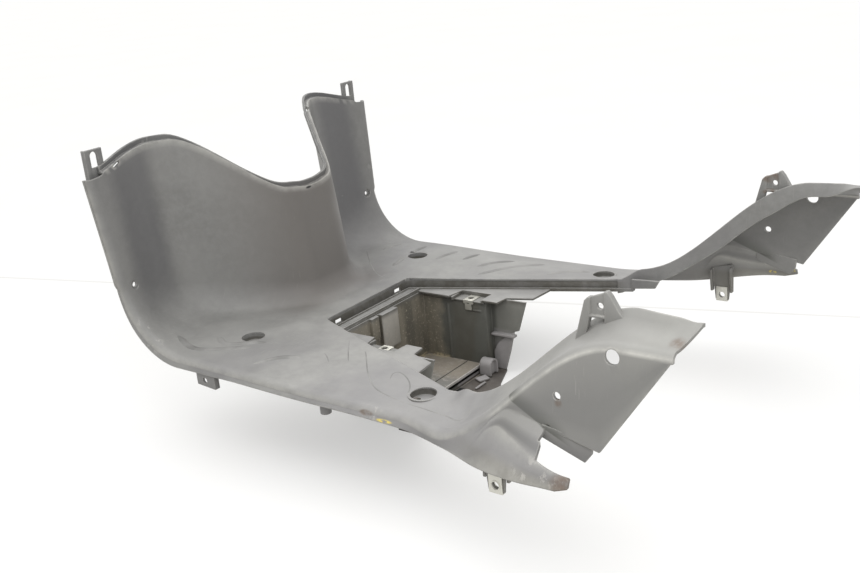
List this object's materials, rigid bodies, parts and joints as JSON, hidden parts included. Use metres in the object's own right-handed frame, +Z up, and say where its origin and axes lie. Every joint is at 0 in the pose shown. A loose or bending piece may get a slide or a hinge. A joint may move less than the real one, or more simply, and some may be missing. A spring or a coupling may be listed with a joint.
{
  "type": "scooter floorboard",
  "caption": "One-piece moulded scooter floorboard with leg shield, flat footboard, open battery box and two rising rear arms; spring clip nuts on its tabs.",
  "frame": {"origin": "centre of the sole plate at the rear of the battery box, on its underside", "axes": "+X rearward along the scooter, +Y to the rider's right, +Z up"},
  "size_m": [0.6156, 0.4842, 0.2894],
  "materials": {
    "moulding": "grained grey plastic, scuffed and dusty, dirtier inside the battery box",
    "clip_steel": "zinc-plated spring steel, dull"
  },
  "bodies": {
    "root": {"floorboard": "moulding", "well_clip_left": "clip_steel", "well_clip_right": "clip_steel", "side_clip_left": "clip_steel", "side_clip_right": "clip_steel"}
  },
  "joints": []
}
